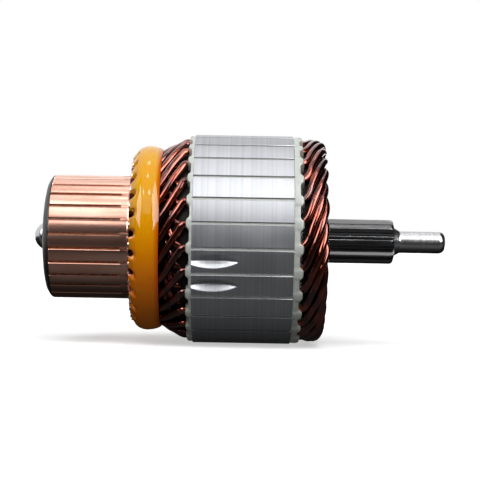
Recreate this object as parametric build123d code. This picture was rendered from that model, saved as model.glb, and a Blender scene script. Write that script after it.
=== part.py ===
"""Armature of a gear-reduction starter motor.

The shaft lies along X. The commutator is at the -X end, the sun gear and the
drive-end journal at the +X end, and the origin is in the middle of the steel
core on the shaft's axis. Angles go round the shaft from the near side (-Y),
downwards first, so a positive turn about X carries a piece from -Y to -Z.
All sizes are in millimetres and degrees.
"""
from build123d import *
import math
import os

# Shaft, from the commutator end to the drive end
stub_dia = 7.9
stub_reach = 3.65
stub_dome_radius = 4.4
commutator_seat_dia = 13.0
core_seat_dia = 15.0
shoulder_reach = 6.9
gear_relief_length = 2.0
gear_tooth_count = 8
gear_first_tooth_angle = 3.5
gear_tip_dia = 13.8
gear_root_dia = 9.4
gear_tip_land = 1.7
gear_root_land = 3.1
gear_flank_bulge = 0.09
gear_length = 23.1
gear_end_chamfer = 1.5
neck_length = 2.2
journal_dia = 6.8
journal_length = 14.0
journal_end_chamfer_length = 1.35
journal_end_chamfer_depth = 1.0

# Laminated core
core_outer_dia = 65.0
core_length = 30.2
slot_count = 27
first_slot_angle = 5.2
slot_mouth_width = 1.0
tooth_tip_thickness = 0.9

# Balance cuts, milled into two teeth from the commutator side
cut_teeth = (0, 1)
cut_cutter_radius = 20.0
cut_edge_radius = 2.3
cut_depth = 1.4
cut_centre_from_face = 6.1

# Winding of one-turn hairpins, two legs in each slot
wire_dia = 2.25
wire_sides = 8
leg_gap = 0.5
coil_throw_slot_count = 6
winding_pitch_bar_count = 13
top_lead_bar_count = 3

# Drive-end overhang of the winding
drive_reach = 8.75
drive_exit = 0.8
drive_exit_ease = 0.7
drive_bulge = 0.5
nose_top_drop = 0.5
nose_depth = 4.2
nose_first_angle = 28.3
nose_last_angle = 49.8
nose_crown = 1.2

# Commutator-end overhang of the winding
commutator_reach = 14.4
commutator_exit = 1.4
commutator_exit_ease = 1.1
waist_at = 7.9
waist_angle = 13.5
waist_share = 0.482
waist_gap = 0.7
riser_lead_in = 0.6

# Moulded end insulators with a tube through each slot
liner_wall = 0.3
plate_commutator_side = 0.9
plate_drive_side = 2.9
collar_height = 0.6
collar_wall = 0.45
rim_setback_commutator = 0.6
rim_setback_drive = 0.5

# Commutator
bar_count = 27
commutator_turn_angle = -1.1
bar_outer_dia = 38.4
bar_depth = 4.2
bar_gap = 0.8
bar_length = 24.45
undercut_depth = 1.2
flush_length = 2.6
riser_thickness = 3.5
riser_cover = 1.05
riser_end_wall = 0.5
riser_floor_above_bar = 0.1
nose_height = 2.65
nose_face_dia = 16.0
nose_crown_dia = 28.8
nose_crown_height = 2.1

# Banding ring of resin over the risers and the ends of the coils
band_width = 9.4
band_wall_at_riser = 0.65
band_wall_in_middle = 3.45
band_wall_at_drive_end = 0.3

# Fits and running clearances
seat_clearance = 0.02
liner_clearance = 0.05
wire_clearance = 0.15
riser_slot_clearance = 0.05
riser_wire_gap = 0.3
band_clearance = 0.15

# Radii worked out from the sizes above
core_radius = core_outer_dia / 2
slot_top_radius = core_radius - tooth_tip_thickness
leg_inset = liner_clearance + liner_wall + wire_clearance + wire_dia / 2
top_leg_radius = slot_top_radius - leg_inset
bottom_leg_radius = top_leg_radius - wire_dia - leg_gap
slot_floor_radius = bottom_leg_radius - leg_inset
slot_width = 2 * leg_inset
bar_radius = bar_outer_dia / 2
bar_floor_radius = bar_radius - bar_depth
riser_floor_radius = bar_radius + riser_floor_above_bar
bottom_riser_wire_radius = riser_floor_radius + riser_slot_clearance + wire_dia / 2
top_riser_wire_radius = bottom_riser_wire_radius + wire_dia + riser_wire_gap
riser_radius = top_riser_wire_radius + wire_dia / 2 + riser_cover
top_waist_radius = top_riser_wire_radius + waist_share * (top_leg_radius - top_riser_wire_radius)
slot_pitch = 360 / slot_count
bar_pitch = 360 / bar_count

# Places along the shaft, out from the core's two faces
core_left = -core_length / 2
core_right = core_length / 2
insulator_left = core_left - plate_commutator_side - collar_height
insulator_right = core_right + plate_drive_side
riser_inner = insulator_left - commutator_reach
riser_outer = riser_inner - riser_thickness
bar_end = riser_outer - bar_length
nose_face = bar_end - nose_height
shaft_left = nose_face - stub_reach
nose_wire_x = insulator_right + drive_reach - wire_dia / 2
shoulder_right = core_right + shoulder_reach
gear_left = shoulder_right + gear_relief_length
gear_right = gear_left + gear_length
neck_right = gear_right + neck_length
shaft_right = neck_right + journal_length


def around(x, angle, radius):
    """Point at a place along the shaft, an angle round it and a radius."""
    turn = math.radians(angle)
    return Vector(x, -radius * math.cos(turn), -radius * math.sin(turn))


def toward_near_side(radius):
    """Place of a drawing on a cross-section, a radius out on the near side."""
    return Pos(-radius, 0)


def turned(shape, angle):
    """The shape carried round the shaft's axis by an angle."""
    return Rot(angle, 0, 0) * shape


def run_along_shaft(section, start, end):
    """A cross-section of the shaft's axis, run from one place to another."""
    return extrude(Plane.YZ.offset(start) * section, amount=end - start)


def spun(outline):
    """A half profile drawn as X against radius, spun round the shaft."""
    return revolve(make_face(outline), Axis.X)


def round_pattern(section, count, first_angle):
    """Copies of a cross-section drawing, evenly round the shaft."""
    copies = Sketch()
    for index in range(count):
        copies += Rot(0, 0, first_angle + index * 360 / count) * section
    return copies


def gear_tooth_section():
    """One tooth of the sun gear, with bowed flanks, on the near side."""
    tip = gear_tip_dia / 2
    root = gear_root_dia / 2 - gear_flank_bulge
    middle = (tip + root) / 2
    middle_land = (gear_tip_land + gear_root_land) / 2 + 2 * gear_flank_bulge
    upper_flank = ThreePointArc(
        (-root, gear_root_land / 2),
        (-middle, middle_land / 2),
        (-tip, gear_tip_land / 2),
    )
    lower_flank = ThreePointArc(
        (-tip, -gear_tip_land / 2),
        (-middle, -middle_land / 2),
        (-root, -gear_root_land / 2),
    )
    land = Line(upper_flank @ 1, lower_flank @ 0)
    foot = Line(lower_flank @ 1, upper_flank @ 0)
    return make_face(Curve() + [upper_flank, land, lower_flank, foot])


def shaft():
    """The turned shaft, with the sun gear cut on it in one piece."""
    stub = stub_dia / 2
    dome_centre = shaft_left + stub_dome_radius
    dome_edge = dome_centre - math.sqrt(stub_dome_radius**2 - stub**2)
    dome_middle_angle = math.asin(stub / stub_dome_radius) / 2
    dome_middle = (
        dome_centre - stub_dome_radius * math.cos(dome_middle_angle),
        stub_dome_radius * math.sin(dome_middle_angle),
    )
    dome = ThreePointArc((shaft_left, 0), dome_middle, (dome_edge, stub))
    seat = commutator_seat_dia / 2
    core_seat = core_seat_dia / 2
    root = gear_root_dia / 2
    journal = journal_dia / 2
    steps = Polyline(
        (dome_edge, stub),
        (bar_end, stub),
        (bar_end, seat),
        (insulator_left, seat),
        (insulator_left, core_seat),
        (shoulder_right, core_seat),
        (shoulder_right, root),
        (gear_right, root),
        (neck_right, journal),
        (shaft_right - journal_end_chamfer_length, journal),
        (shaft_right, journal - journal_end_chamfer_depth),
        (shaft_right, 0),
        (shaft_left, 0),
    )
    body = spun(Curve() + [dome, steps])

    teeth_section = round_pattern(gear_tooth_section(), gear_tooth_count, gear_first_tooth_angle)
    teeth = run_along_shaft(teeth_section, gear_left, gear_right)
    blank = run_along_shaft(Circle(gear_tip_dia / 2), gear_left, gear_right)
    blank = chamfer(blank.edges().sort_by(Axis.X)[-1], gear_end_chamfer)
    return body + (teeth & blank)


def slot_section():
    """One slot of the core, with its narrow mouth at the rim."""
    depth = slot_top_radius - slot_floor_radius
    pocket = toward_near_side(slot_floor_radius + depth / 2) * Rectangle(depth, slot_width)
    mouth_depth = 2 * tooth_tip_thickness
    mouth = toward_near_side(slot_top_radius + mouth_depth / 2) * Rectangle(mouth_depth, slot_mouth_width)
    return pocket + mouth


def balance_cut(tooth):
    """The path of a round-edged disc cutter that has dipped into a tooth."""
    cutter = Torus(cut_cutter_radius - cut_edge_radius, cut_edge_radius)
    centre_radius = core_radius + cut_cutter_radius - cut_depth
    placed = Pos(core_left + cut_centre_from_face, -centre_radius, 0) * cutter
    return turned(placed, first_slot_angle + (tooth + 0.5) * slot_pitch)


def lamination_stack():
    """The bonded stack of steel laminations, slotted for the winding."""
    slots = round_pattern(slot_section(), slot_count, first_slot_angle)
    bore = Circle(core_seat_dia / 2 + seat_clearance)
    stack = run_along_shaft(Circle(core_radius) - bore - slots, core_left, core_right)
    for tooth in cut_teeth:
        stack -= balance_cut(tooth)
    return stack


def liner_section(wall):
    """The outline of one slot tube, a wall out from its opening."""
    opening_width = wire_dia + 2 * wire_clearance
    opening_bottom = bottom_leg_radius - wire_dia / 2 - wire_clearance
    opening_top = top_leg_radius + wire_dia / 2 + wire_clearance
    depth = opening_top - opening_bottom + 2 * wall
    return toward_near_side((opening_bottom + opening_top) / 2) * Rectangle(depth, opening_width + 2 * wall)


def end_insulator(face, outward, plate, rim_setback):
    """A moulded end plate whose tubes line the slots to the middle of the core."""
    openings = round_pattern(liner_section(0), slot_count, first_slot_angle)
    tubes = round_pattern(liner_section(liner_wall), slot_count, first_slot_angle)
    bore = Circle(core_seat_dia / 2 + seat_clearance)
    rim = Circle(core_radius - rim_setback)
    insulator = run_along_shaft(rim - bore - openings, face, face + outward * plate)
    insulator += run_along_shaft(tubes - openings, outward * liner_clearance, face)
    return insulator


def insulator_commutator_side():
    """The thin end plate, with a collar round the mouth of each slot tube."""
    openings = round_pattern(liner_section(0), slot_count, first_slot_angle)
    collars = round_pattern(liner_section(collar_wall), slot_count, first_slot_angle)
    plate = end_insulator(core_left, -1, plate_commutator_side, rim_setback_commutator)
    return plate + run_along_shaft(collars - openings, insulator_left + collar_height, insulator_left)


def insulator_drive_side():
    """The thick end plate, which stands flush behind the coil noses."""
    return end_insulator(core_right, 1, plate_drive_side, rim_setback_drive)


def bar_sector(inner_radius, outer_radius):
    """The cross-section of one bar between two radii, with parallel gaps beside it."""
    section = Circle(outer_radius) - Circle(inner_radius)
    half_width = 2 * outer_radius * math.tan(math.radians(bar_pitch / 2))
    wedge = Polyline(
        (0, 0),
        (-2 * outer_radius, half_width),
        (-2 * outer_radius, -half_width),
        (0, 0),
    )
    section &= make_face(wedge)
    for side in (-1, 1):
        gap = toward_near_side(outer_radius) * Rectangle(2 * outer_radius, bar_gap)
        section -= Rot(0, 0, side * bar_pitch / 2) * gap
    return section


def commutator_bar():
    """One copper bar, with the slotted riser that takes two coil ends."""
    bar = run_along_shaft(bar_sector(bar_floor_radius, bar_radius), bar_end, riser_outer)
    bar += run_along_shaft(bar_sector(bar_floor_radius, riser_radius), riser_outer, riser_inner)
    slot_height = riser_radius - riser_floor_radius
    slot = toward_near_side(riser_floor_radius + slot_height) * Rectangle(
        2 * slot_height, wire_dia + 2 * riser_slot_clearance
    )
    bar -= run_along_shaft(slot, riser_outer + riser_end_wall, riser_inner + riser_end_wall)
    return bar


def commutator_moulding():
    """The phenolic drum that holds the bars, with ribs between and a crowned nose."""
    bore = stub_dia / 2 + seat_clearance
    seat = commutator_seat_dia / 2 + seat_clearance
    crown = ThreePointArc(
        (nose_face, nose_face_dia / 2),
        (bar_end - nose_crown_height, nose_crown_dia / 2),
        (bar_end, bar_radius),
    )
    outline = Polyline(
        (bar_end, bar_radius),
        (bar_end, bar_floor_radius),
        (riser_inner, bar_floor_radius),
        (riser_inner, seat),
        (bar_end, seat),
        (bar_end - seat_clearance, bore),
        (nose_face, bore),
        (nose_face, nose_face_dia / 2),
    )
    drum = spun(Curve() + [crown, outline])

    first_gap = first_slot_angle + commutator_turn_angle + bar_pitch / 2
    rib_root = toward_near_side(bar_floor_radius)
    low_rib = rib_root * Rectangle(2 * (bar_depth - undercut_depth), bar_gap)
    high_rib = rib_root * Rectangle(2 * bar_depth, bar_gap)
    drum += run_along_shaft(round_pattern(low_rib, bar_count, first_gap), bar_end, riser_outer - flush_length)
    drum += run_along_shaft(round_pattern(high_rib, bar_count, first_gap), riser_outer - flush_length, riser_outer)
    return drum


def eased(corners):
    """Points of a bent wire: each corner is cut back along both of its arms."""
    points = [corners[0][0]]
    for before, corner, after in zip(corners, corners[1:], corners[2:]):
        point, setback = corner
        if setback == 0:
            points.append(point)
        else:
            points.append(point + (before[0] - point).normalized() * setback)
            points.append(point + (after[0] - point).normalized() * setback)
    points.append(corners[-1][0])
    return points


def hairpin_path():
    """Centre line of one coil: riser, top leg, nose, bottom leg, riser."""
    throw = coil_throw_slot_count * slot_pitch
    bottom_lead_bar_count = winding_pitch_bar_count - coil_throw_slot_count - top_lead_bar_count
    top_end_angle = top_lead_bar_count * bar_pitch + commutator_turn_angle
    bottom_end_angle = commutator_turn_angle - throw - bottom_lead_bar_count * bar_pitch
    wire_end = riser_outer + riser_end_wall
    riser_turn = riser_inner + riser_lead_in
    waist = insulator_left - waist_at
    exit_left = insulator_left - commutator_exit
    exit_right = insulator_right + drive_exit
    nose_x = nose_wire_x - nose_crown
    flank_x = (exit_right + nose_x) / 2
    bottom_waist_radius = top_waist_radius - wire_dia - waist_gap
    bottom_waist_share = (waist - exit_left) / (riser_turn - exit_left)
    bottom_waist_angle = bottom_waist_share * (bottom_end_angle + throw) - throw
    flank_radius = top_leg_radius + drive_bulge
    nose_outer_radius = flank_radius - nose_top_drop
    nose_inner_radius = nose_outer_radius - nose_depth
    nose_middle_angle = (nose_first_angle + nose_last_angle) / 2
    nose_middle_radius = (nose_outer_radius + nose_inner_radius) / 2
    corners = [
        (around(wire_end, top_end_angle, top_riser_wire_radius), 0),
        (around(riser_turn, top_end_angle, top_riser_wire_radius), 0),
        (around(waist, waist_angle, top_waist_radius), 0),
        (around(exit_left, 0, top_leg_radius), commutator_exit_ease),
        (around(exit_right, 0, top_leg_radius), drive_exit_ease),
        (around(flank_x, -nose_first_angle / 2, flank_radius), 0),
        (around(nose_x, -nose_first_angle, nose_outer_radius), 0),
        (around(nose_wire_x, -nose_middle_angle, nose_middle_radius), 0),
        (around(nose_x, -nose_last_angle, nose_inner_radius), 0),
        (around(exit_right, -throw, bottom_leg_radius), 0),
        (around(exit_left, -throw, bottom_leg_radius), 0),
        (around(waist, bottom_waist_angle, bottom_waist_radius), 0),
        (around(riser_turn, bottom_end_angle, bottom_riser_wire_radius), 0),
        (around(wire_end, bottom_end_angle, bottom_riser_wire_radius), 0),
    ]
    return Polyline(*eased(corners))


def hairpin_coil():
    """One enamelled copper hairpin, its section a many-sided round."""
    path = hairpin_path()
    section = Plane(origin=path @ 0, z_dir=path % 0) * RegularPolygon(wire_dia / 2, wire_sides)
    return sweep(section, path=path, transition=Transition.RIGHT)


def winding_band():
    """The resin ring that binds the coil ends and the risers."""
    left = riser_outer
    right = left + band_width
    middle = (left + right) / 2
    inside_risers = riser_radius + band_clearance
    inside_waist = top_waist_radius + wire_dia / 2 + band_clearance
    left_edge = inside_risers + band_wall_at_riser
    right_edge = inside_waist + band_wall_at_drive_end
    crown = Spline(
        (left, left_edge),
        (middle, inside_risers + band_wall_in_middle),
        (right, right_edge),
        tangents=((0.4, 1), (1, -0.45)),
    )
    inside = Polyline(
        (right, right_edge),
        (right, inside_waist),
        (riser_inner + riser_lead_in, inside_risers),
        (left, inside_risers),
        (left, left_edge),
    )
    return spun(Curve() + [crown, inside])


os.makedirs("parts", exist_ok=True)
pieces = {
    "shaft": shaft(),
    "lamination_stack": lamination_stack(),
    "insulator_commutator_side": insulator_commutator_side(),
    "insulator_drive_side": insulator_drive_side(),
    "commutator_moulding": commutator_moulding(),
    "winding_band": winding_band(),
}
bar = commutator_bar()
for index in range(bar_count):
    bar_angle = first_slot_angle + commutator_turn_angle + index * bar_pitch
    pieces[f"commutator_bar_{index + 1:02d}"] = turned(bar, bar_angle)
coil = hairpin_coil()
for index in range(slot_count):
    pieces[f"coil_{index + 1:02d}"] = turned(coil, first_slot_angle + index * slot_pitch)
for name, piece in pieces.items():
    export_step(piece, f"parts/{name}.step")
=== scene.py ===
# %% [markdown]
# # A motor armature, dressed for its picture
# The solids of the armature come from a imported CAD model, and this script gives them the fine
# shapes and the finishes that the eye expects: round enamelled wire, turned copper, a ground steel
# core and a ring of amber resin. The CAD model stays the measure of every size, so it is loaded
# first and nothing in it is moved.

# %% Load the model that everything is fitted to
import bpy
import math
import numpy as np
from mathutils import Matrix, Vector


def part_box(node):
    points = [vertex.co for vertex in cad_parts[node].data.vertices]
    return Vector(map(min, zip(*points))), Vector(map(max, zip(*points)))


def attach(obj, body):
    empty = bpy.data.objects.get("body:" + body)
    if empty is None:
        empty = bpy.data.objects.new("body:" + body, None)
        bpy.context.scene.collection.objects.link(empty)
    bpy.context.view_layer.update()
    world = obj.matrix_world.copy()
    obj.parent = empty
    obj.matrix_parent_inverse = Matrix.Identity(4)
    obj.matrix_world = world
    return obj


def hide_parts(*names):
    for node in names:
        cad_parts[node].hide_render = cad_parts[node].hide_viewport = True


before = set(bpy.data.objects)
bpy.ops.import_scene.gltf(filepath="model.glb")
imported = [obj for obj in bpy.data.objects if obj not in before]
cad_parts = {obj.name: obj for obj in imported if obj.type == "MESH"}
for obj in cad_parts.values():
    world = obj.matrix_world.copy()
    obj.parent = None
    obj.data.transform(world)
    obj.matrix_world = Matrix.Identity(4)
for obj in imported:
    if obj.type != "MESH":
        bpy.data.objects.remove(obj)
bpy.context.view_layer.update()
print("solids in the frame:", len(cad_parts))

# %% [markdown]
# ## Sizes
# The shapes below are worked out in millimetres, because that is how the object was measured, and
# turned to metres once, when a mesh is made. The main sizes are read from the solids' own boxes,
# so a change in the model carries through. Angles go round the shaft from the near side, -Y,
# downwards first.

# %% Read the main sizes
MM = 0.001


def span(node, axis):
    """Lowest and highest place of a solid along one axis, in millimetres."""
    low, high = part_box(node)
    return low[axis] / MM, high[axis] / MM


core_left, core_right = span("lamination_stack", 0)
core_radius = span("lamination_stack", 2)[1]
shaft_left, shaft_right = span("shaft", 0)
bar_end, riser_inner = span("commutator_bar_01", 0)
nose_face = span("commutator_moulding", 0)[0]
# The resin band starts at the outer faces of the risers.
riser_outer, band_right = span("winding_band", 0)
insulator_left = span("insulator_commutator_side", 0)[0]
insulator_right = span("insulator_drive_side", 0)[1]
print("core from", round(core_left, 2), "to", round(core_right, 2), "mm, radius", round(core_radius, 2))

# %% [markdown]
# ## Slots and bars round the shaft
# The winding ties the core to the commutator, so there are as many bars as slots. Each set starts
# at an angle of its own and goes round in equal steps. One array of angles for each set places
# everything that repeats.

# %% Angles of the slots and the bars
slot_count = 27
pitch = 360 / slot_count
first_slot, first_bar = 5.2, 4.1
slot_angles = first_slot + pitch * np.arange(slot_count)
bar_angles = first_bar + pitch * np.arange(slot_count)
print("slots and bars:", slot_count, "of", round(pitch, 2), "degrees")

# %% [markdown]
# ## Three small helpers for shapes
# Nearly all of the armature is round, so its surfaces are grids: rows run along the shaft and
# columns go round it. One function carries a grid of places, angles and radii into space, one
# lists the faces between neighbours on the grid, and one rounds the corners of a drawn outline, as
# a tool or a mould leaves them. No vertex is touched one at a time.

# %% Grids in space
def around(x, angle, radius):
    """Points at a place along the shaft, an angle round it and a radius: y = -r cos a, z = -r sin a."""
    x, turn, radius = np.broadcast_arrays(x, np.radians(angle), radius)
    return np.stack([x, -radius * np.cos(turn), -radius * np.sin(turn)], -1)


def quads(rows, columns, loop_rows=False, loop_columns=True):
    """Corner numbers of the faces between neighbours on a grid whose points are numbered row by row."""
    i = np.arange(rows if loop_rows else rows - 1)[:, None]
    j = np.arange(columns if loop_columns else columns - 1)[None, :]
    here, beside = i * columns, (i + 1) % rows * columns
    ahead = (j + 1) % columns
    return np.stack([here + j, here + ahead, beside + ahead, beside + j], -1).reshape(-1, 4)


def rounded(corners, radius, steps=4):
    """A closed outline whose corners are curves: each leaves one side a radius before the corner and
    joins the next a radius after it, as (1-t)^2 start + 2t(1-t) corner + t^2 end."""
    corner = np.asarray(corners, float)
    radius = np.broadcast_to(radius, len(corner))[:, None]
    before = np.roll(corner, 1, 0) - corner
    after = np.roll(corner, -1, 0) - corner
    start = corner + before / np.linalg.norm(before, axis=1, keepdims=True) * radius
    end = corner + after / np.linalg.norm(after, axis=1, keepdims=True) * radius
    t = np.linspace(0, 1, steps)[None, :, None]
    curve = (1 - t) ** 2 * start[:, None] + 2 * t * (1 - t) * corner[:, None] + t**2 * end[:, None]
    return curve.reshape(-1, 2)


print("faces on a closed tube of 3 rings of 8 points:", len(quads(3, 8)))

# %% [markdown]
# ## From arrays to a piece
# A piece rides on the CAD body, says which solids it stands for and which material slot it takes
# its finish from. Smooth shading stops at edges sharper than the given angle, so a chamfer keeps
# its crisp line while a curved flank stays smooth.

# %% Make a piece
made = {}


def make_piece(name, points, faces, material, stands_for=(), sharp=34):
    """A mesh piece from points in millimetres and a list of faces, dressed and riding on the body."""
    mesh = bpy.data.meshes.new(name)
    mesh.from_pydata((np.asarray(points).reshape(-1, 3) * MM).tolist(), [], faces)
    mesh.polygons.foreach_set("use_smooth", np.ones(len(mesh.polygons), bool))
    mesh.set_sharp_from_angle(angle=math.radians(sharp))
    mesh.materials.append(material)
    piece = bpy.data.objects.new(name, mesh)
    bpy.context.scene.collection.objects.link(piece)
    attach(piece, "root")
    if stands_for:
        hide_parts(*stands_for)
    mesh.calc_loop_triangles()
    made[name] = len(mesh.loop_triangles)
    return piece


def tell(*names):
    """Print the triangle count of each named piece."""
    for name in names:
        print(f"{name}: {made[name]} triangles")


# %% [markdown]
# ## Three ways to fill a surface
# A lathe spins a closed profile round the shaft. A capped tube is a stack of rings with a flat face
# at both ends, which suits a shaft, a bar or a wire. And what stands twenty-seven times round the
# core is worked out once and copied by turning its points.

# %% Lathe, tube and copies
def lathe(profile, columns=192):
    """A closed profile of (x, r) spun round the shaft. The profile runs to the right along its outside,
    so that the faces point out."""
    angles = np.arange(columns) * 360 / columns
    points = around(profile[:, None, 0], angles[None, :], profile[:, None, 1])
    return points, quads(len(profile), columns, loop_rows=True).tolist()


def capped(points):
    """The faces of a tube of rings, with a flat face over its first and its last ring."""
    rows, columns = points.shape[:2]
    first = list(range(columns))[::-1]
    last = list(range((rows - 1) * columns, rows * columns))
    return quads(rows, columns).tolist() + [first, last]


def repeated(points, faces, angles):
    """One shape's points and faces, copied round the shaft: y and z turn, and face numbers move on."""
    turns = np.radians(np.asarray(angles))[:, None, None]
    flat = points.reshape(-1, 3)[None]
    y = flat[..., 1:2] * np.cos(turns) - flat[..., 2:3] * np.sin(turns)
    z = flat[..., 1:2] * np.sin(turns) + flat[..., 2:3] * np.cos(turns)
    x = np.broadcast_to(flat[..., 0:1], y.shape)
    step = flat.shape[1]
    copies = [[number + step * turn for number in face] for turn in range(len(angles)) for face in faces]
    return np.concatenate([x, y, z], -1), copies


print("faces of a capped tube of 2 rings of 6 points:", len(capped(np.zeros((2, 6, 3)))))

# %% [markdown]
# ## Helpers for materials
# Colours are written as the hex codes of a paint chart. Those codes are curved for screens, and a
# renderer counts light in straight proportion, so one function straightens them. One more adds a
# node with its settings and links, which keeps each material as short as its description.

# %% Colours and nodes
def colour(code):
    """Linear colour of an sRGB hex code: under 0.04 a straight line, above it a power of 2.4."""
    part = np.array([int(code[place : place + 2], 16) for place in (1, 3, 5)]) / 255
    linear = np.where(part <= 0.04045, part / 12.92, ((part + 0.055) / 1.055) ** 2.4)
    return (*linear.tolist(), 1.0)


def add(tree, kind, inputs=None, **settings):
    """Add a node; inputs are set to a value, or linked where a socket is given."""
    node = tree.nodes.new("ShaderNode" + kind)
    for setting, value in settings.items():
        setattr(node, setting, value)
    for name, value in (inputs or {}).items():
        if isinstance(value, bpy.types.NodeSocket):
            tree.links.new(value, node.inputs[name])
        else:
            node.inputs[name].default_value = value
    return node


def new_material(name):
    """An empty node material, and its tree."""
    material = bpy.data.materials.new(name)
    material.use_nodes = True
    material.node_tree.nodes.clear()
    print("material:", name)
    return material, material.node_tree


print("middle grey, straightened:", round(colour("#808080")[0], 3))

# %% [markdown]
# ## Patterns
# No real surface is even. Noise on Object coordinates varies a colour, a roughness or a height, and
# it stays fixed to the piece whatever turns. Its scale counts changes in a metre, so a mark that is
# half a millimetre wide has a scale of 2000. Each scale below starts from a real size. Where the
# real marks are too fine to show in the picture they are drawn coarser, and the comment says so.

# %% Patterns and the surface shader
def pattern(tree, scale, detail=3.0):
    """Noise on Object coordinates; scale is how often it changes in a metre along X, Y and Z."""
    place = add(tree, "TexCoord").outputs["Object"]
    stretched = add(tree, "Mapping", {"Vector": place, "Scale": scale}).outputs["Vector"]
    return add(tree, "TexNoise", {"Vector": stretched, "Scale": 1.0, "Detail": detail}).outputs["Fac"]


def spread(tree, value, low, high, to_low, to_high):
    """A value carried from one range to another and held at its ends."""
    return add(tree, "MapRange", {"Value": value, "From Min": low, "From Max": high,
                                  "To Min": to_low, "To Max": to_high}).outputs["Result"]


def mixed(tree, share, first, second):
    """A colour between two colours or sockets, by a share from 0 to 1."""
    return add(tree, "Mix", {0: share, 6: first, 7: second}, data_type="RGBA").outputs[2]


def blended(tree, share, first, second):
    """A colour between two hex codes, by a share from 0 to 1."""
    return mixed(tree, share, colour(first), colour(second))


def finished(tree, inputs, height, depth):
    """The surface shader with its sockets set, a bump of the given depth in metres, and the output."""
    inputs["Normal"] = add(tree, "Bump", {"Height": height, "Distance": depth}).outputs["Normal"]
    shader = add(tree, "BsdfPrincipled", inputs)
    add(tree, "OutputMaterial", {"Surface": shader.outputs["BSDF"]})


print("a mark of 0.5 mm has the scale", round(1 / (0.5 * MM)))

# %% [markdown]
# ## Core steel
# Electrical steel, stamped in sheets about half a millimetre thick, stacked, bonded and then turned
# to size. Turning leaves rings round the stack, and the sheets' edges show as faint lines across
# every tooth. It is a bare metal with a soft shine: its colour is its reflection, and the rings
# stretch that reflection along the shaft.

# %% Core steel
core_steel, tree = new_material("core_steel_turned_laminations")
# Sheets 0.5 mm thick, each nearly even round its rim.
sheet_edges = pattern(tree, (2000, 14, 14), detail=2)
# Patches of wear about 10 mm wide.
blotches = pattern(tree, (90, 120, 120))
finished(tree, {
    "Base Color": blended(tree, spread(tree, sheet_edges, 0.35, 0.65, 0, 1), "#A8AAAE", "#B3B5B9"),
    "Metallic": 1.0,
    "Roughness": spread(tree, blotches, 0.3, 0.7, 0.36, 0.42),
}, sheet_edges, 0.000002)

# %% [markdown]
# ## Shaft steel
# The shaft is alloy steel, hardened and ground. The journal and the stub are bright, and their
# grinding marks run round them.

# %% Ground shaft steel
ground_steel, tree = new_material("shaft_steel_ground")
# Grinding marks are under 0.1 mm wide; they are drawn at 0.4 mm, so that they show.
grinding = pattern(tree, (2600, 40, 40), detail=2)
finished(tree, {
    "Base Color": blended(tree, spread(tree, grinding, 0.35, 0.65, 0, 1), "#B9B9BB", "#CFCFD1"),
    "Metallic": 1.0,
    "Roughness": spread(tree, grinding, 0.3, 0.7, 0.2, 0.28),
}, grinding, 0.000002)

# %% [markdown]
# The gear keeps the black scale and oil of its heat treatment. Scale is iron oxide, which isn't a
# metal to the eye: it is dark face on and turns bright only where it is seen at a slant. So it has
# no metallic share and a high IOR, and the oil over it is a thin clear coat.

# %% Blackened gear steel
blackened_steel, tree = new_material("gear_steel_hardened_black")
# Oil stains 6 mm long and 2.5 mm across, between brown and blue-black.
oil = pattern(tree, (160, 400, 400))
finished(tree, {
    "Base Color": blended(tree, spread(tree, oil, 0.35, 0.65, 0, 1), "#14110F", "#1A1D24"),
    "IOR": 2.0,
    "Roughness": spread(tree, oil, 0.3, 0.7, 0.14, 0.24),
    "Coat Weight": 1.0,
    "Coat Roughness": 0.1,
}, oil, 0.00002)

# %% [markdown]
# ## Commutator copper
# The bars are hard-drawn silver-bearing copper, turned with a diamond tool, so they are pinkish and
# almost mirror bright with very fine rings. Air and brushes have tarnished them a little, in
# patches that run along the bars.

# %% Turned copper
turned_copper, tree = new_material("commutator_copper_turned")
# Turning rings are about 0.1 mm apart; they are drawn at 0.7 mm, so that they show.
rings = pattern(tree, (1500, 60, 60), detail=2)
# Tarnish in patches 17 mm long and 4 mm across.
tarnish = pattern(tree, (60, 260, 260), detail=4)
finished(tree, {
    "Base Color": blended(tree, spread(tree, tarnish, 0.35, 0.7, 0, 1), "#F6C3B0", "#E2A892"),
    "Metallic": 1.0,
    "Roughness": spread(tree, tarnish, 0.3, 0.7, 0.19, 0.26),
}, rings, 0.000005)

# %% [markdown]
# ## Commutator moulding
# The drum that holds the bars is phenolic moulding compound: black, filled with fibres and
# minerals, and only satin. Where the slots between the bars are cut it shows as a brown, sawn
# surface, and where the turning tool ran over it, it is smeared with copper.

# %% Phenolic in three states
phenolic_ior = 1.55
phenolic, tree = new_material("phenolic_moulded_black")
# Filler grains are under 0.1 mm; they are drawn at 0.6 mm, so that they show.
filler = pattern(tree, (1800, 1800, 1800))
finished(tree, {
    "Base Color": blended(tree, filler, "#0A0C0B", "#141716"),
    "Roughness": spread(tree, filler, 0.3, 0.7, 0.35, 0.5),
    "IOR": phenolic_ior,
}, filler, 0.00003)

sawn_phenolic, tree = new_material("phenolic_sawn_brown")
# Saw marks 0.4 mm across the slot, smeared out to 1.1 mm along it.
saw_marks = pattern(tree, (900, 2500, 2500))
finished(tree, {
    "Base Color": blended(tree, spread(tree, saw_marks, 0.35, 0.65, 0, 1), "#6E3C1E", "#A8683A"),
    "Roughness": 0.42,
    "IOR": phenolic_ior,
}, saw_marks, 0.00004)

smeared_copper, tree = new_material("phenolic_smeared_with_copper")
# Smears 2 mm long round the drum and 0.8 mm wide along it.
smear = pattern(tree, (1200, 500, 500), detail=4)
finished(tree, {
    "Base Color": blended(tree, spread(tree, smear, 0.4, 0.6, 0, 1), "#D9A491", "#B9836E"),
    "Metallic": 0.9,
    "Roughness": spread(tree, smear, 0.3, 0.7, 0.28, 0.4),
}, smear, 0.00002)

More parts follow.
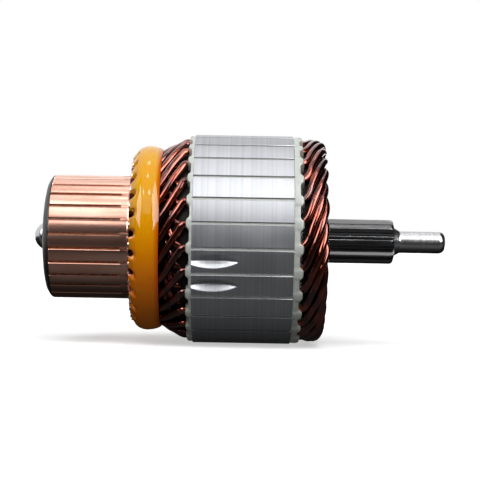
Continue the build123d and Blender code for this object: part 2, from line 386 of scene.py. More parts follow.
# %% [markdown]
# ## Wire enamel
# Polyester-imide enamel is baked on the round copper wire in many thin coats, and the finished
# winding is dipped in varnish. It looks like red-brown glass over metal: a deep colour that flashes
# orange where the copper under it mirrors a light, and a white glint from the varnish on top. A
# dark red metal under a clear coat gives both.

# %% Wire enamel
enamel, tree = new_material("wire_enamel_varnished")
# Runs of varnish about 6 mm apart.
runs = pattern(tree, (160, 160, 160), detail=2)
finished(tree, {
    "Base Color": blended(tree, spread(tree, runs, 0.38, 0.62, 0, 1), "#8C361A", "#481610"),
    "Metallic": 1.0,
    "Roughness": spread(tree, runs, 0.3, 0.7, 0.16, 0.22),
    "Coat Weight": 1.0,
    "Coat Roughness": 0.04,
    "Coat IOR": 1.55,
}, runs, 0.00005)

# %% [markdown]
# ## Insulator nylon
# The end insulators are moulded glass-filled nylon, pale grey-green and slightly clear, so light
# softens inside them before it comes out again.

# %% Nylon
nylon, tree = new_material("insulator_nylon_moulded")
# Glass fibres are 0.01 mm thick; they are drawn as streaks 0.7 mm wide, so that they show.
fibres = pattern(tree, (1400, 700, 700))
finished(tree, {
    "Base Color": blended(tree, fibres, "#CDD2CB", "#E2E6DF"),
    "Roughness": spread(tree, fibres, 0.3, 0.7, 0.28, 0.42),
    "IOR": 1.53,
    "Subsurface Weight": 0.35,
    "Subsurface Radius": (1.0, 1.0, 0.9),
    "Subsurface Scale": 0.001,
}, fibres, 0.00002)

# %% [markdown]
# ## Banding resin
# The band is epoxy poured in a spinning fixture: amber, thick and glossy. It is redder where it
# thins over the wires at its right edge, and it is painted a deeper orange low down, as painted
# shade on its lower side. Both follow the place on the piece, and so does a faint clouding.

# %% Resin
resin, tree = new_material("band_epoxy_amber")
place = add(tree, "SeparateXYZ", {"Vector": add(tree, "TexCoord").outputs["Object"]}).outputs
# Clouds about 17 mm wide.
clouds = pattern(tree, (60, 60, 60), detail=2)
thin_width = 1.6
# Painted shade: from 12 mm above the axis to 12 mm below it the resin turns a deeper orange.
painted_shade_top, painted_shade_bottom = 12, -12
thin = spread(tree, place["X"], (band_right - thin_width) * MM, band_right * MM, 0, 1)
painted_shade_share = spread(tree, place["Z"], painted_shade_top * MM, painted_shade_bottom * MM, 0, 1)
amber = blended(tree, spread(tree, clouds, 0.3, 0.7, 0, 1), "#FFBC06", "#FFB000")
# The painted shade: amber mixed towards a deeper orange low down.
amber = mixed(tree, painted_shade_share, amber, colour("#FF8A00"))
finished(tree, {
    "Base Color": mixed(tree, thin, amber, colour("#D85A10")),
    "Roughness": 0.06,
    "IOR": 1.5,
    "Specular IOR Level": 0.35,
    "Subsurface Weight": 0.3,
    "Subsurface Radius": (1.0, 0.45, 0.05),
    "Subsurface Scale": 0.0015,
}, clouds, 0.00004)

# %% [markdown]
# ## Solder
# A tin alloy joins each pair of wires to its riser. It freezes bright, with a slight frost.

# %% Solder
solder, tree = new_material("solder_tinned_bright")
# Frost in grains of 0.4 mm.
frost = pattern(tree, (2500, 2500, 2500), detail=2)
finished(tree, {
    "Base Color": blended(tree, frost, "#D9CFC4", "#F1ECE6"),
    "Metallic": 1.0,
    "Roughness": spread(tree, frost, 0.3, 0.7, 0.15, 0.3),
}, frost, 0.00002)

# %% [markdown]
# ## The turned shaft
# A shaft is a lathe's work, so its shape is a profile spun round its axis: a domed stub, the seat
# of the commutator, the seat of the core, a neck and the journal. It is one closed tube of rings
# with a flat face at each end. Close pairs of rings beside each step keep the shading of the long
# stretches flat.

# %% Shaft
commutator_seat, core_seat, core_seat_end = 6.5, 7.5, 22.0
stub_radius, dome_radius, journal_radius, gear_root = 3.95, 4.4, 3.4, 4.7
gear_left, gear_right = 24.0, 47.1
neck_right = gear_right + 2.2
dome_turn = np.radians(np.linspace(6, math.degrees(math.asin(stub_radius / dome_radius)), 12))
dome = np.stack([shaft_left + dome_radius * (1 - np.cos(dome_turn)), dome_radius * np.sin(dome_turn)], -1)
steps = np.array([
    (dome[-1, 0] + 0.12, stub_radius), (bar_end - 0.1, stub_radius),
    (bar_end, commutator_seat - 0.1), (bar_end + 0.1, commutator_seat), (insulator_left, commutator_seat),
    (insulator_left + 0.1, core_seat), (core_seat_end - 0.2, core_seat), (core_seat_end, core_seat - 0.2),
    (core_seat_end, gear_root), (gear_right - 0.2, gear_root), (gear_right, gear_root - 0.1),
    (neck_right - 0.5, journal_radius + 0.16), (neck_right - 0.1, journal_radius),
    (neck_right, journal_radius), (shaft_right - 1.9, journal_radius), (shaft_right - 1.8, journal_radius),
    (shaft_right - 1.35, journal_radius - 0.08), (shaft_right - 0.9, journal_radius - 0.28),
    (shaft_right - 0.5, journal_radius - 0.6), (shaft_right - 0.2, journal_radius - 1.0),
    (shaft_right - 0.05, journal_radius - 1.4), (shaft_right, journal_radius - 1.8),
])
profile = np.vstack([dome, steps])
shaft_columns = 96
ring = np.arange(shaft_columns) * 360 / shaft_columns
points = around(profile[:, None, 0], ring[None], profile[:, None, 1])
make_piece("shaft_ground", points, capped(points), ground_steel, ["shaft"])
tell("shaft_ground")

# %% [markdown]
# ## The sun gear
# The gear's outline is the same all along it, so its surface is a radius that depends on the angle,
# cut down by a rounding near the free end. Half a tooth is drawn as a list of radii and widths: the
# land, a rounded corner, a bowed flank and the root. Its mirror image completes the tooth, and
# every tooth repeats it.

# %% Half a tooth
tip, teeth, first_tooth = 6.9, 8, 3.5
land, foot, flank_bow = 1.7, 3.1, 0.09
tip_round, root_round = 0.12, 0.3
share = np.linspace(0, 1, 8)
flank_radius = tip - tip_round - share * (tip - tip_round - gear_root - root_round)
flank_half = (land + share * (foot - land)) / 2 + flank_bow * 4 * share * (1 - share)
root_half = gear_root * math.sin(math.pi / teeth)
half_radius = np.concatenate([[tip, tip, tip - 0.03], flank_radius,
                              [gear_root + 0.1, gear_root, gear_root]])
half_width = np.concatenate([[0.0, land / 2 - 0.25, land / 2 - 0.08], flank_half,
                             [foot / 2 + 0.1, foot / 2 + 0.18, root_half]])
half_angle = np.degrees(np.arcsin(half_width / half_radius))
print("a tooth takes", round(2 * half_angle[-1], 1), "degrees")

# %% The whole gear
tooth_angle = np.concatenate([-half_angle[::-1], half_angle[1:-1]])
tooth_radius = np.concatenate([half_radius[::-1], half_radius[1:-1]])
gear_angle = (first_tooth + 360 / teeth * np.arange(teeth)[:, None] + tooth_angle[None]).ravel()
gear_radius = np.tile(tooth_radius, teeth)
end_round, chamfer = 1.2, 0.2
end_turn = np.radians(np.linspace(0, 80, 6))
gear_x = np.concatenate([[gear_left, gear_left + chamfer, gear_right - end_round - 0.1],
                         gear_right - end_round + end_round * np.sin(end_turn)])
limit = np.concatenate([[tip - chamfer, tip, tip], tip - end_round + end_round * np.cos(end_turn)])
points = around(gear_x[:, None], gear_angle[None], np.minimum(gear_radius[None], limit[:, None]))
make_piece("sun_gear", points, capped(points), blackened_steel, sharp=28)
tell("sun_gear")

# %% [markdown]
# ## The core's teeth
# The core is an outline with a groove for each slot, run along the shaft. A tooth is drawn as
# sideways places across it, from slot to slot. Its middle is a little lower than the full round of
# the core, so it is slightly flatter, and a rounded lip ends it at each slot. That is what makes
# each tooth catch the light by itself.

# %% One tooth and the groove after it
mouth, groove_depth, lip, tooth_sag = 0.45, 1.5, 0.08, 0.07
half_tooth = core_radius * math.radians(pitch / 2)
# A radius or a sideways place that is out of the cutter's reach.
uncut = 99.0


def tooth_columns(count):
    """Sideways places across one tooth, from slot to slot, closer together at its lips."""
    inner = half_tooth - mouth - lip
    return np.concatenate([[-half_tooth + mouth, -half_tooth + mouth + 0.05],
                           np.linspace(-inner, inner, count),
                           [half_tooth - mouth - 0.05, half_tooth - mouth]])


def tooth_outline(count):
    """Angles from the tooth's middle, radii and sideways places over one tooth and the groove after it.
    The radius is short of the core's by sag (1 - share^2), where the share is side / half a tooth."""
    side = tooth_columns(count)
    top = core_radius - tooth_sag * (1 - (side / half_tooth) ** 2)
    top[[0, -1]] -= lip
    top[[1, -2]] -= 0.02
    floor_side = np.array([half_tooth - mouth + 0.02, half_tooth + mouth - 0.02])
    floor_top = np.full(2, core_radius - groove_depth)
    angle = np.degrees(np.concatenate([side, floor_side]) / core_radius)
    return angle, np.concatenate([top, floor_top]), np.concatenate([side, np.full(2, uncut)])


print("a tooth is", round(2 * (half_tooth - mouth), 2), "mm wide")

# %% [markdown]
# ## The balance cuts
# Two teeth carry a balance cut, made with a disc cutter whose rim is a blunt V. Under the cutter
# the radius is the smaller of the core's and the cutter's own, so a cut is a second surface that
# wins where it is lower. Its outline, pointed at one end, comes out by itself where the two
# surfaces meet.

# %% The cutter
cut_x, cutter_radius, cutter_slope, cutter_blunt, cut_depth = core_left + 6.0, 19.0, 0.95, 0.35, 1.8
cut_reach = 3.2


def cut_radius(x, side):
    """Radius left under the cutter: its centre's height less the circle of its rim over that place. The
    rim falls away to both sides as its slope times (sqrt(side^2 + blunt^2) - blunt)."""
    section = cutter_radius - cutter_slope * (np.sqrt(side**2 + cutter_blunt**2) - cutter_blunt)
    height = np.sqrt(np.maximum(section**2 - (x - cut_x) ** 2, 0))
    left = core_radius + cutter_radius - cut_depth - height
    return np.where(np.abs(side) < cut_reach, np.hypot(left, side), uncut)


print("deepest place of a cut:", round(core_radius - float(cut_radius(cut_x, 0.0)), 2), "mm")

# %% [markdown]
# Only the two cut teeth need many columns, and only the stretch under the cutter needs many rows.
# The rest of the core is straight, so a few rows draw it.

# %% The whole core
cut_teeth, cut_columns, plain_columns, cut_rows = 2, 44, 10, 70
rim_bevel, core_bore = 0.1, core_seat + 0.02
angle_parts, radius_parts, side_parts = [], [], []
for tooth in range(slot_count):
    angle, radius, side = tooth_outline(cut_columns if tooth < cut_teeth else plain_columns)
    angle_parts.append(angle + first_slot + (tooth + 0.5) * pitch)
    radius_parts.append(radius)
    side_parts.append(side if tooth < cut_teeth else np.full(len(side), uncut))
core_angle = np.concatenate(angle_parts)
core_top = np.concatenate(radius_parts)
cut_side = np.concatenate(side_parts)
core_x = np.concatenate([[core_left, core_left + 0.12],
                         np.linspace(core_left + 0.4, core_left + 14.2, cut_rows),
                         [core_left + 20, core_right - 0.12, core_right]])
bevel = np.where((core_x == core_left) | (core_x == core_right), rim_bevel, 0.0)
core_rim = np.minimum(core_top[None] - bevel[:, None], cut_radius(core_x[:, None], cut_side[None]))
outside = around(core_x[:, None], core_angle[None], core_rim)
bore_right = around(core_right, core_angle, core_bore)[None]
bore_left = around(core_left, core_angle, core_bore)[None]
points = np.concatenate([outside, bore_right, bore_left])
make_piece("core_turned", points, quads(*points.shape[:2], loop_rows=True).tolist(), core_steel,
           ["lamination_stack"])
print("core grid:", points.shape[:2])
tell("core_turned")

# %% [markdown]
# ## End insulators
# Each insulator is a moulded plate with a bead round every slot. The plate is a closed profile spun
# round the shaft, and its outer face is pushed out at each slot by a smooth bead, so one grid draws
# plate and beads together. Inside the beads the plate is a plain disc.

# %% The beaded plates
bead_foot, plate_bore, back_ring = 25.4, 24.6, 27.0
insulator_columns = slot_count * 24
bead_half, bead_soft = 2.7, 0.35


def bead(angle, angles, half):
    """How far into a bead a place lies, from 0 outside to 1 on it: 1 / (1 + e^((away - half) / soft)),
    all in degrees."""
    away = np.abs((angle[:, None] - angles[None] + 180) % 360 - 180).min(1)
    return 1 / (1 + np.exp((away - half) / bead_soft))


def insulator(face, outward, plate, bead_height, rim):
    """The plate's closed profile at every angle: x is the plate's share of its thickness plus the bead's
    share of its height, and the radius swells a little at each bead."""
    angle = np.arange(insulator_columns) * 360 / insulator_columns
    push = bead(angle, slot_angles, bead_half)[None]
    along = np.array([0, 0.7, 0.95, 1, 1, 1, 1, 0, 0])[:, None] * plate
    bump = np.array([0, 0.2, 0.8, 1.0, 1.0, 0.9, 0, 0, 0])[:, None] * bead_height
    swell = np.array([0.1, 0.25, 0.15, 0, 0, 0, 0, 0, 0])[:, None]
    radius = np.array([rim, rim, rim - 0.12, rim - 0.5, rim - 3.0,
                       bead_foot, plate_bore, plate_bore, back_ring])[:, None]
    x = face + outward * (along + bump * push)
    points = around(x, angle[None], radius + swell * push)
    if outward > 0:
        points = points[::-1]
    return points[::-1], quads(*points.shape[:2], loop_rows=True).tolist()


bead_left, bead_right = 1.0, 1.1
plate_left, plate_right = 0.8, insulator_right - core_right - bead_right
points, faces = insulator(core_left, -1, plate_left, bead_left, core_radius - 0.6)
make_piece("insulator_beads_left", points, faces, nylon, ["insulator_commutator_side"])
points, faces = insulator(core_right, 1, plate_right, bead_right, core_radius - 0.5)
make_piece("insulator_beads_right", points, faces, nylon, ["insulator_drive_side"])
tell("insulator_beads_left", "insulator_beads_right")

# %% The inner discs
disc_rim = 24.9


def inner_disc(face, outward, plate):
    """The flat inner part of a plate, from the beads in to the shaft."""
    low, high = sorted([face, face + outward * plate])
    return lathe(rounded([(low, disc_rim), (high, disc_rim), (high, core_bore), (low, core_bore)], 0.05), 96)


points, faces = inner_disc(core_left, -1, plate_left)
make_piece("insulator_disc_left", points, faces, nylon)
points, faces = inner_disc(core_right, 1, plate_right)
make_piece("insulator_disc_right", points, faces, nylon)
tell("insulator_disc_left", "insulator_disc_right")

# %% [markdown]
# ## Slot liners
# A tube of the same nylon lines each slot and keeps the wires off the steel. Only a thin strip of
# it shows, in the slot's narrow mouth, so the liners are drawn as small rounded bars there.

# %% Slot liners
liner_low, liner_top, liner_half = 30.9, 32.0, 0.43
strip = rounded([(liner_low, -liner_half), (liner_top, -liner_half), (liner_top, liner_half),
                 (liner_low, liner_half)], 0.12, 3)
strip_x = np.array([core_left + 0.05, core_right - 0.05])
points = np.stack(np.broadcast_arrays(strip_x[:, None], -strip[None, :, 0], -strip[None, :, 1]), -1)
points, faces = repeated(points, capped(points), slot_angles)
make_piece("slot_liners", points, faces, nylon)
tell("slot_liners")

# %% [markdown]
# ## Commutator bars
# One bar is a wedge of a ring with straight gaps beside it. Its outline is worked out for any outer
# radius, so the same columns run along the bar and up into the riser that stands at its right end.
# The riser's sides are parallel, as it is punched. The bar's top is very slightly more curved than
# the ring, from wear, so each bar carries a highlight of its own.

# %% Outline of a bar
bar_radius, riser_radius, bar_floor, half_gap, bar_sag = 19.2, 25.2, 15.0, 0.4, 0.1
bar_edge = 0.14


def bar_section(radius):
    """Outline of a bar in height and sideways places: sqrt(r^2 - side^2) less the sag at the sides,
    then straight sides down to the floor."""
    lean = math.tan(math.radians(pitch / 2))
    shift = half_gap / math.cos(math.radians(pitch / 2))
    bar_half = (bar_radius - 0.1) * lean - shift
    floor_half = bar_floor * lean - shift
    top = np.linspace(-bar_half + bar_edge, bar_half - bar_edge, 9)
    side = np.concatenate([[-bar_half], top, [bar_half]])
    height = np.sqrt(radius**2 - side**2) - bar_sag * (side / bar_half) ** 2
    height[[0, -1]] -= bar_edge
    height = np.concatenate([height, [bar_floor, bar_floor]])
    side = np.concatenate([side, [floor_half, -floor_half]])
    return height, side


print("points on a bar's outline:", len(bar_section(bar_radius)[0]))

# %% All the bars
bar_profile = np.array([
    (bar_end, bar_radius - 0.45), (bar_end + 0.1, bar_radius - 0.18), (bar_end + 0.35, bar_radius),
    (bar_end + 0.45, bar_radius), (riser_outer - 0.7, bar_radius), (riser_outer - 0.6, bar_radius),
    (riser_outer - 0.25, bar_radius + 0.12), (riser_outer - 0.06, bar_radius + 0.5),
    (riser_outer, bar_radius + 1.2), (riser_outer + 0.12, riser_radius - 0.5),
    (riser_outer + 0.4, riser_radius), (riser_inner - 0.2, riser_radius), (riser_inner, riser_radius - 0.2),
])
sections = np.array([bar_section(radius) for radius in bar_profile[:, 1]])
points = np.stack([np.broadcast_to(bar_profile[:, :1], sections[:, 0].shape),
                   -sections[:, 0], -sections[:, 1]], -1)
bar_faces = capped(points)
for number, angle in enumerate(bar_angles):
    turned_points, faces = repeated(points, bar_faces, [angle])
    make_piece(f"copper_bar_{number + 1:02d}", turned_points, faces, turned_copper,
               [f"commutator_bar_{number + 1:02d}"], 30)
tell("copper_bar_01")

# %% [markdown]
# ## Drum and nose
# The drum that holds the bars and its crowned nose are one moulding, so they are one closed profile
# spun round the shaft.

# %% Drum and nose
moulding_bore, stub_bore = commutator_seat + 0.05, stub_radius + 0.05
nose = np.array([
    (nose_face, 8.0), (nose_face + 0.15, 10.5), (nose_face + 0.4, 12.8), (nose_face + 0.75, 15.0),
    (nose_face + 1.2, 17.0), (bar_end - 0.8, 18.3), (bar_end - 0.25, 18.95), (bar_end - 0.02, 19.0),
])
hub = np.array([
    (bar_end - 0.02, bar_floor), (riser_inner, bar_floor), (riser_inner, moulding_bore),
    (bar_end, moulding_bore), (bar_end - 0.05, stub_bore), (nose_face + 0.2, stub_bore),
    (nose_face, stub_bore + 0.3),
])
points, faces = lathe(np.vstack([nose, hub]), 162)
make_piece("moulding_nose", points, faces, phenolic, ["commutator_moulding"])
tell("moulding_nose")

# %% [markdown]
# ## Ribs between the bars
# Between the bars stand ribs of the same compound. They are sawn down for most of the bars' length,
# and the saw's round leaves a ramp up to a short stretch that is flush and smeared with copper by
# the turning tool.

# %% Ribs
undercut_end = riser_outer - 2.6


def ribs(places):
    """Ribs between the bars through places of (x, height), with parallel sides a gap apart."""
    x, top = np.array(places).T
    low = np.full(len(top), bar_floor - 0.1)
    heights = np.stack([top - 0.03, top, top, top - 0.03, low, low], -1)
    sides = np.broadcast_to(np.array([-1, -0.6, 0.6, 1, 1, -1]) * (half_gap + 0.03), heights.shape)
    points = np.stack([np.broadcast_to(x[:, None], heights.shape), -heights, -sides], -1)
    return repeated(points, capped(points), bar_angles + pitch / 2)


points, faces = ribs([(bar_end, 18.6), (undercut_end - 1.4, 18.6), (undercut_end - 0.7, 18.7),
                      (undercut_end - 0.2, 18.85), (undercut_end, 19.0)])
make_piece("ribs_sawn", points, faces, sawn_phenolic)
points, faces = ribs([(undercut_end, 19.1), (undercut_end + 0.1, 19.17), (riser_outer - 0.3, 19.17),
                      (riser_outer, 19.2)])
make_piece("ribs_flush", points, faces, smeared_copper)
tell("ribs_sawn", "ribs_flush")

# %% [markdown]
# ## The winding
# Every coil is one length of round wire bent like a hairpin: it leaves a riser, lies at the top of
# a slot, turns back at the drive end, lies at the bottom of the slot six slots on and ends in
# another riser. Its centre line passes through a few places given as a distance along the shaft, an
# angle and a radius, joined by smooth cubics.

# %% Coil path
wire_radius = 1.16
path_corners = np.array([
    # Out of the upper end of a riser and up to the core.
    (riser_outer + 0.5, 38.9, 23.025), (riser_inner + 0.4, 38.9, 23.025),
    (-27.6, 31.0, 24.7), (-24.5, 21.5, 26.375), (-19.3, 4.5, 29.3), (-17.6, 0.3, 29.95),
    # The leg at the top of a slot.
    (-16.2, 0, 29.975), (16.2, 0, 29.975),
    # The nose, where the wire turns back and dips to the lower layer.
    (18.2, -2.6, 30.075), (20.9, -14.5, 30.475), (23.4, -28.3, 29.975), (24.45, -39.05, 27.875),
    (23.4, -49.8, 25.775), (18.8, -80, 27.225),
    # The leg at the bottom of the slot six slots on.
    (17.2, -80, 27.225), (-16.4, -80, 27.225),
    # Down to the lower end of another riser.
    (-18.0, -80, 27.225), (-24.5, -108.5, 23.425),
    (riser_inner + 0.6, -134.43, 20.475), (riser_outer + 0.5, -134.43, 20.475),
])


def smooth_path(corners, steps):
    """Cubic curves through all corners: each leaves and reaches a corner along a slope that favours the
    shorter of the two sides there, so a long straight leg stays straight."""
    flat = around(corners[:, 0], corners[:, 1], corners[:, 2])
    length = np.linalg.norm(np.diff(flat, axis=0), axis=1)[:, None]
    slope = np.diff(corners, axis=0) / length
    inner = (slope[:-1] * length[1:] + slope[1:] * length[:-1]) / (length[1:] + length[:-1])
    ends = np.concatenate([slope[:1], inner, slope[-1:]])
    t = np.linspace(0, 1, steps, endpoint=False)[None, :, None]
    start, end = corners[:-1, None], corners[1:, None]
    leave, reach = (ends[:-1] * length)[:, None], (ends[1:] * length)[:, None]
    curve = ((2 * t**3 - 3 * t**2 + 1) * start + (t**3 - 2 * t**2 + t) * leave
             + (3 * t**2 - 2 * t**3) * end + (t**3 - t**2) * reach)
    return np.vstack([curve.reshape(-1, 3), corners[-1:]])


print("corners of a coil's path:", len(path_corners))

# %% [markdown]
# A ring is carried along the path and kept upright by the direction away from the shaft, so the
# surface never twists. Hand winding is never even, so the bends of each coil stray a little, from a
# fixed random order that gives the same coils in each run.

# %% Coils
stray_places = [3, 4, 9, 10, 11, 12, 17]
stray_size = np.array([0.12, 0.25, 0.1])


def wire_surface(path, radius, sides=12):
    """Rings round a centre line: one axis is the way out from the shaft, squared to the line, and the
    other is square to both."""
    line = around(path[:, 0], path[:, 1], path[:, 2])
    forward = np.gradient(line, axis=0)
    forward /= np.linalg.norm(forward, axis=1, keepdims=True)
    outward = around(0, path[:, 1], 1.0)
    outward -= (outward * forward).sum(1, keepdims=True) * forward
    outward /= np.linalg.norm(outward, axis=1, keepdims=True)
    across = np.cross(forward, outward)
    turn = np.arange(sides) * 2 * np.pi / sides
    rings = np.cos(turn)[None, :, None] * outward[:, None] + np.sin(turn)[None, :, None] * across[:, None]
    return line[:, None] + radius * rings


stray = np.random.default_rng(27).normal(0, 1, (slot_count, len(stray_places), 3))
for number, angle in enumerate(slot_angles):
    bent = path_corners.copy()
    bent[stray_places] += stray[number] * stray_size
    path = smooth_path(bent, 7)
    path[:, 1] += angle
    points = wire_surface(path, wire_radius)
    name = f"hairpin_{number + 1:02d}"
    make_piece(name, points, capped(points), enamel, [f"coil_{number + 1:02d}"])
tell("hairpin_01")

# %% [markdown]
# ## Layer insulation
# Between the two layers of wire, outside the core, lies a wrap of varnished paper. Its near-black
# colour is painted shade: it is why the gaps between the strands look black. Each wrap is a thin
# closed profile.

# %% Paper wraps
# Painted shade: the wrap is near black, so that the gaps between the strands look black.
paper, tree = new_material("layer_paper_painted_shade")
# Paper fibres are under 0.1 mm thick; they are drawn 0.8 mm wide and 2.5 mm long, so that they show.
paper_fibres = pattern(tree, (400, 1200, 1200))
finished(tree, {
    "Base Color": blended(tree, paper_fibres, "#0A0605", "#160B08"),
    "Roughness": spread(tree, paper_fibres, 0.3, 0.7, 0.5, 0.7),
    "IOR": 1.3,
}, paper_fibres, 0.00004)
paper_thickness = 0.22


def wrap(name, places):
    """A thin wrap whose outside passes through the given (x, r) places."""
    outside = np.array(places, float)
    inside = outside[::-1] - np.array([0, paper_thickness])
    points, faces = lathe(np.vstack([outside, inside]), 108)
    make_piece(name, points, faces, paper)


wrap("paper_wrap_left", [(-30.2, 21.9), (-27.6, 23.4), (-24.5, 25.0),
                         (-20.5, 27.2), (-17.8, 28.5), (-16.3, 28.6)])
wrap("paper_wrap_right", [(17.6, 28.55), (20.6, 28.6), (22.4, 28.3)])
tell("paper_wrap_left", "paper_wrap_right")

# %% [markdown]
# ## The resin band
# The band is a closed profile spun round the shaft: a steep left flank, a broad crown and a right
# edge that runs out over the wires. On its left flank the resin only covers the risers' tips, so
# its edge is drawn back at every gap between two risers.

# %% Band
crown = np.array([
    (-34.05, 25.45), (-33.95, 25.6), (-33.7, 26.0), (-33.4, 26.5), (-32.9, 27.3),
    (-32.3, 27.9), (-31.6, 28.3), (-30.4, 28.7), (-29.1, 28.8), (-27.9, 28.7),
    (-26.6, 28.4), (-26.0, 28.2), (-25.5, 27.95), (band_right, 27.7),
])
underside = np.array([(band_right, 27.3), (-30.0, 25.3), (-32.6, 25.22)])
flank_end, flank_width = -32.1, 1.4
drawn_back, drawn_down, drawn_half = 1.45, 0.25, 2.2
band_columns = slot_count * 20
band_angle = np.arange(band_columns) * 360 / band_columns
gap = bead(band_angle, bar_angles + pitch / 2, drawn_half)[None]
drawn = np.clip((flank_end - crown[:, :1]) / flank_width, 0, 1)
band_x = np.vstack([crown[:, :1] + drawn_back * drawn * gap, underside[:, :1] + 0 * gap])
band_r = np.vstack([crown[:, 1:] - drawn_down * drawn * gap, underside[:, 1:] + 0 * gap])
points = around(band_x, band_angle[None], band_r)
make_piece("resin_band", points, quads(*points.shape[:2], loop_rows=True).tolist(), resin,
           ["winding_band"], 50)
tell("resin_band")

# %% [markdown]
# ## Solder beads
# Each riser's tip carries a small bright bead of solder, a little longer round the band than along
# it. A bead is a few rings of a stretched ball, closed at both ends and copied round.

# %% Solder beads
solder_x, solder_r, solder_radius, solder_half_length, solder_turn = -33.95, 25.5, 0.5, 0.9, 1.2
turn = np.radians(np.arange(10) * 36.0)[None]
rise = np.radians([75.0, 40, 0, -40, -75])[:, None]
ball = np.stack([
    solder_x + solder_radius * np.cos(rise) * np.cos(turn),
    -solder_r - solder_radius * np.cos(rise) * np.sin(turn),
    solder_half_length * np.sin(rise) + 0 * turn,
], -1)
points, faces = repeated(ball, capped(ball), bar_angles + solder_turn)
make_piece("solder_beads", points, faces, solder)
tell("solder_beads")

# %% [markdown]
# ## The floor
# The armature lies on a pale floor that catches its shadow. To the camera and in reflections the
# floor also glows a little, which makes it as white as the surround without any more light on the
# object. Light Path tells which kind of ray is asking.

# %% Floor
floor_height = -core_radius - 0.4


def set_up(name, points, faces, material):
    """A mesh from points in millimetres that belongs to the studio and not to the armature."""
    mesh = bpy.data.meshes.new(name)
    mesh.from_pydata((points.reshape(-1, 3) * MM).tolist(), [], faces)
    mesh.materials.append(material)
    sheet = bpy.data.objects.new(name, mesh)
    bpy.context.scene.collection.objects.link(sheet)
    return sheet


def flat_sheet(name, outline, width, material):
    """A sheet that follows an outline of (y, z) and is as wide as given, in millimetres."""
    outline = np.asarray(outline, float)
    x = np.array([-width / 2, width / 2])
    points = np.stack(np.broadcast_arrays(x[None], outline[:, None, 0], outline[:, None, 1]), -1)
    return set_up(name, points, quads(len(outline), 2, loop_columns=False).tolist(), material)


def looked_at(tree):
    """1 for rays from the camera, from mirrors and through glass, and 0 for rays that gather light."""
    rays = add(tree, "LightPath").outputs
    either = add(tree, "Math", {0: rays["Is Camera Ray"], 1: rays["Is Glossy Ray"]}, operation="ADD")
    shown = {0: either.outputs[0], 1: rays["Is Transmission Ray"]}
    return add(tree, "Math", shown, operation="ADD", use_clamp=True).outputs[0]


floor_paint, tree = new_material("floor_paint_matt")
finished_floor = {
    "Base Color": colour("#F6F6F6"),
    "Roughness": 0.9,
    "Specular IOR Level": 0.1,
    "Emission Color": (1, 1, 1, 1),
    "Emission Strength": spread(tree, looked_at(tree), 0, 1, 0, 0.5),
}
shader = add(tree, "BsdfPrincipled", finished_floor)
add(tree, "OutputMaterial", {"Surface": shader.outputs["BSDF"]})
floor = flat_sheet("floor", [(-6000, floor_height), (30000, floor_height)], 60000, floor_paint)
floor.visible_diffuse = False
print("floor", round(-floor_height, 2), "mm under the axis")

# %% [markdown]
# ## The dark card
# Bright metal shows its surroundings, and a dark card round the lens paints a reflection in it: it
# gives each round a painted dark lower edge. The card glows with its own tones and no shading. It
# lies on the floor, runs towards the camera and curves up in front to about 28 degrees above the
# object. Only reflections see it. Its tone changes with distance, since each height on a cylinder
# mirrors one distance on the floor: nearly black under the object, greyer a few centimetres out and
# dark again further on.

# %% Card
def only_reflected(sheet):
    """Hide a sheet from all rays but those that mirror."""
    sheet.visible_camera = sheet.visible_diffuse = sheet.visible_shadow = False
    sheet.visible_transmission = sheet.visible_volume_scatter = False


def glowing(tree, tone, strength):
    """An even glow of a colour, without any shading."""
    glow = add(tree, "Emission", {"Color": tone, "Strength": strength})
    add(tree, "OutputMaterial", {"Surface": glow.outputs["Emission"]})


# Painted reflection: the glowing tones that the metal mirrors, darkest under the object.
card_tones = [(0.03, "#101010"), (-0.005, "#222222"), (-0.012, "#363636"), (-0.028, "#5C5C5C"),
              (-0.05, "#5C5C5C"), (-0.1, "#303030"), (-0.4, "#303030"), (-0.95, "#404040")]
card_back, card_front = card_tones[0][0], card_tones[-1][0]
card_reflection_glow, tree = new_material("card_painted_reflection")
depth = add(tree, "SeparateXYZ", {"Vector": add(tree, "TexCoord").outputs["Object"]}).outputs["Y"]
tones = add(tree, "ValToRGB", {"Fac": spread(tree, depth, card_back, card_front, 0, 1)})
ramp = tones.color_ramp.elements
while len(ramp) < len(card_tones):
    ramp.new(1.0)
for stop, (place, tone) in zip(ramp, card_tones):
    stop.position = (card_back - place) / (card_back - card_front)
    stop.color = colour(tone)
glowing(tree, tones.outputs["Color"], 1.0)

card_height, card_bend, card_rear, card_radius, card_width = floor_height + 0.3, -400, 400, 600, 3000
arc = np.radians(np.linspace(0, 88, 14))
curve = np.stack([card_bend - card_radius * np.sin(arc), card_height + card_radius * (1 - np.cos(arc))], -1)
card = flat_sheet("card", np.vstack([[(card_rear, card_height)], curve]), card_width, card_reflection_glow)
only_reflected(card)
print("card rises to", round(curve[-1, 1]), "mm")

# %% [markdown]
# ## Side cards and strips
# Wires and rounded edges turn their backs to the lens and mirror what stands beside the object. Two
# dark glowing cards paint dark reflections in the winding, which keep it deep in colour, and the
# left one ends early, so that the domed stub still mirrors the white surround behind it. Two bright
# glowing strips in front of the cards paint the long glints on the wires and the flanks of the band.
# They are seen by reflections only as well, so they add nothing to the light on matt surfaces.

# %% Side cards and strips
def side_sheet(name, x, depths, heights, tone, strength):
    """An upright sheet beside the armature, from its place across, its span in y and its span in z."""
    (near, far), (low, high) = depths, heights
    points = np.array([(x, near, low), (x, near, high), (x, far, high), (x, far, low)], float)
    material, tree = new_material(name + "_face")
    glowing(tree, colour(tone), strength)
    only_reflected(set_up(name, points, [(0, 1, 2, 3)], material))


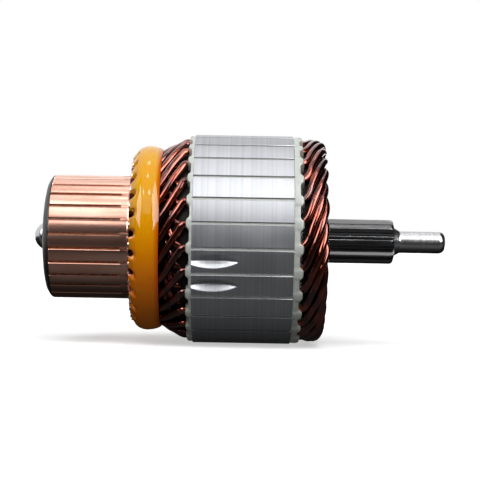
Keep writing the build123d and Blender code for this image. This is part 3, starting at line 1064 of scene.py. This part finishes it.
# Painted reflections: two dark glowing cards and two bright glowing strips, seen only in reflections.
side_sheet("side_card_left", -330.0, (-900, -60), (-30, 700), "#1E1E1E", 1.0)
side_sheet("side_card_right", 330.0, (-900, 900), (-30, 700), "#1E1E1E", 1.0)
side_sheet("strip_left", -320.0, (-560, -160), (120, 560), "#FFFFFF", 7.0)
side_sheet("strip_right", 320.0, (-680, -180), (120, 860), "#FFFFFF", 9.0)

# %% [markdown]
# ## Lamps
# Most of the light is one broad soft lamp from above and in front, like an overcast window. It is
# left out of reflections, because its wide image would burn out the core's teeth. A smaller front
# light does show there, as a bright band along the upper teeth, and four small bulbs draw the row
# of dots on the resin. Sun lamps suit this: each has an angular size and no distance, so the light
# falls the same on every piece.

# %% Light
def sun(name, strength, size, elevation, azimuth=0.0):
    """A far lamp that spans an angle of the sky, from an elevation above the front horizon."""
    lamp = bpy.data.lights.new(name, "SUN")
    lamp.energy, lamp.angle = strength, math.radians(size)
    holder = bpy.data.objects.new(name, lamp)
    holder.rotation_euler = (math.radians(90 - elevation), 0, math.radians(azimuth))
    bpy.context.scene.collection.objects.link(holder)
    return holder


sun("front_light", 0.24, 40, 38)
soft_light = sun("soft_light", 2.05, 66, 52)
soft_light.visible_glossy = False
bulb_size = 7.0
bulbs = [(106, 0, 0.07), (83, 0, 0.09), (57, -24, 0.15), (57, 18, 0.15)]
for number, (elevation, azimuth, strength) in enumerate(bulbs):
    sun(f"bulb_{number + 1}", strength, bulb_size, elevation, azimuth)
print("lamps:", len(bpy.data.lights))

# %% [markdown]
# ## The surround
# The world is plain white where it is looked at and where it is mirrored, and nearly dark for the
# rays that gather light, so the white background adds almost nothing to the object.

# %% World
world = bpy.data.worlds.new("surround")
bpy.context.scene.world = world
world.use_nodes = True
tree = world.node_tree
tree.nodes.clear()
level = spread(tree, looked_at(tree), 0, 1, 0.08, 1.0)
background = add(tree, "Background", {"Color": (1, 1, 1, 1), "Strength": level})
add(tree, "OutputWorld", {"Surface": background.outputs["Background"]})
print("world:", world.name)

# %% [markdown]
# ## The camera
# A product like this is taken square on, from about half a metre, with a long lens. The camera
# stands level with the shaft and is turned by a degree about its own axis, which gives the shaft
# its slight slope in the picture.

# %% Camera
lens = bpy.data.cameras.new("lens")
lens.sensor_fit, lens.sensor_width, lens.lens = "HORIZONTAL", 36.0, 112.5
lens.clip_start, lens.clip_end = 0.01, 100
camera = bpy.data.objects.new("camera", lens)
camera.location = (-0.00086, -0.471, -0.00022)
camera.rotation_euler = (math.radians(90), math.radians(-1.01), 0)
bpy.context.scene.collection.objects.link(camera)
bpy.context.scene.camera = camera
bpy.context.scene.view_settings.view_transform = "Standard"
print("camera", round(-camera.location.y / MM), "mm in front of the shaft")

# %% [markdown]
# ## Count
# Last, the triangles of all the dressed pieces are counted.

# %% Count the triangles
print("triangles in all:", sum(made.values()))
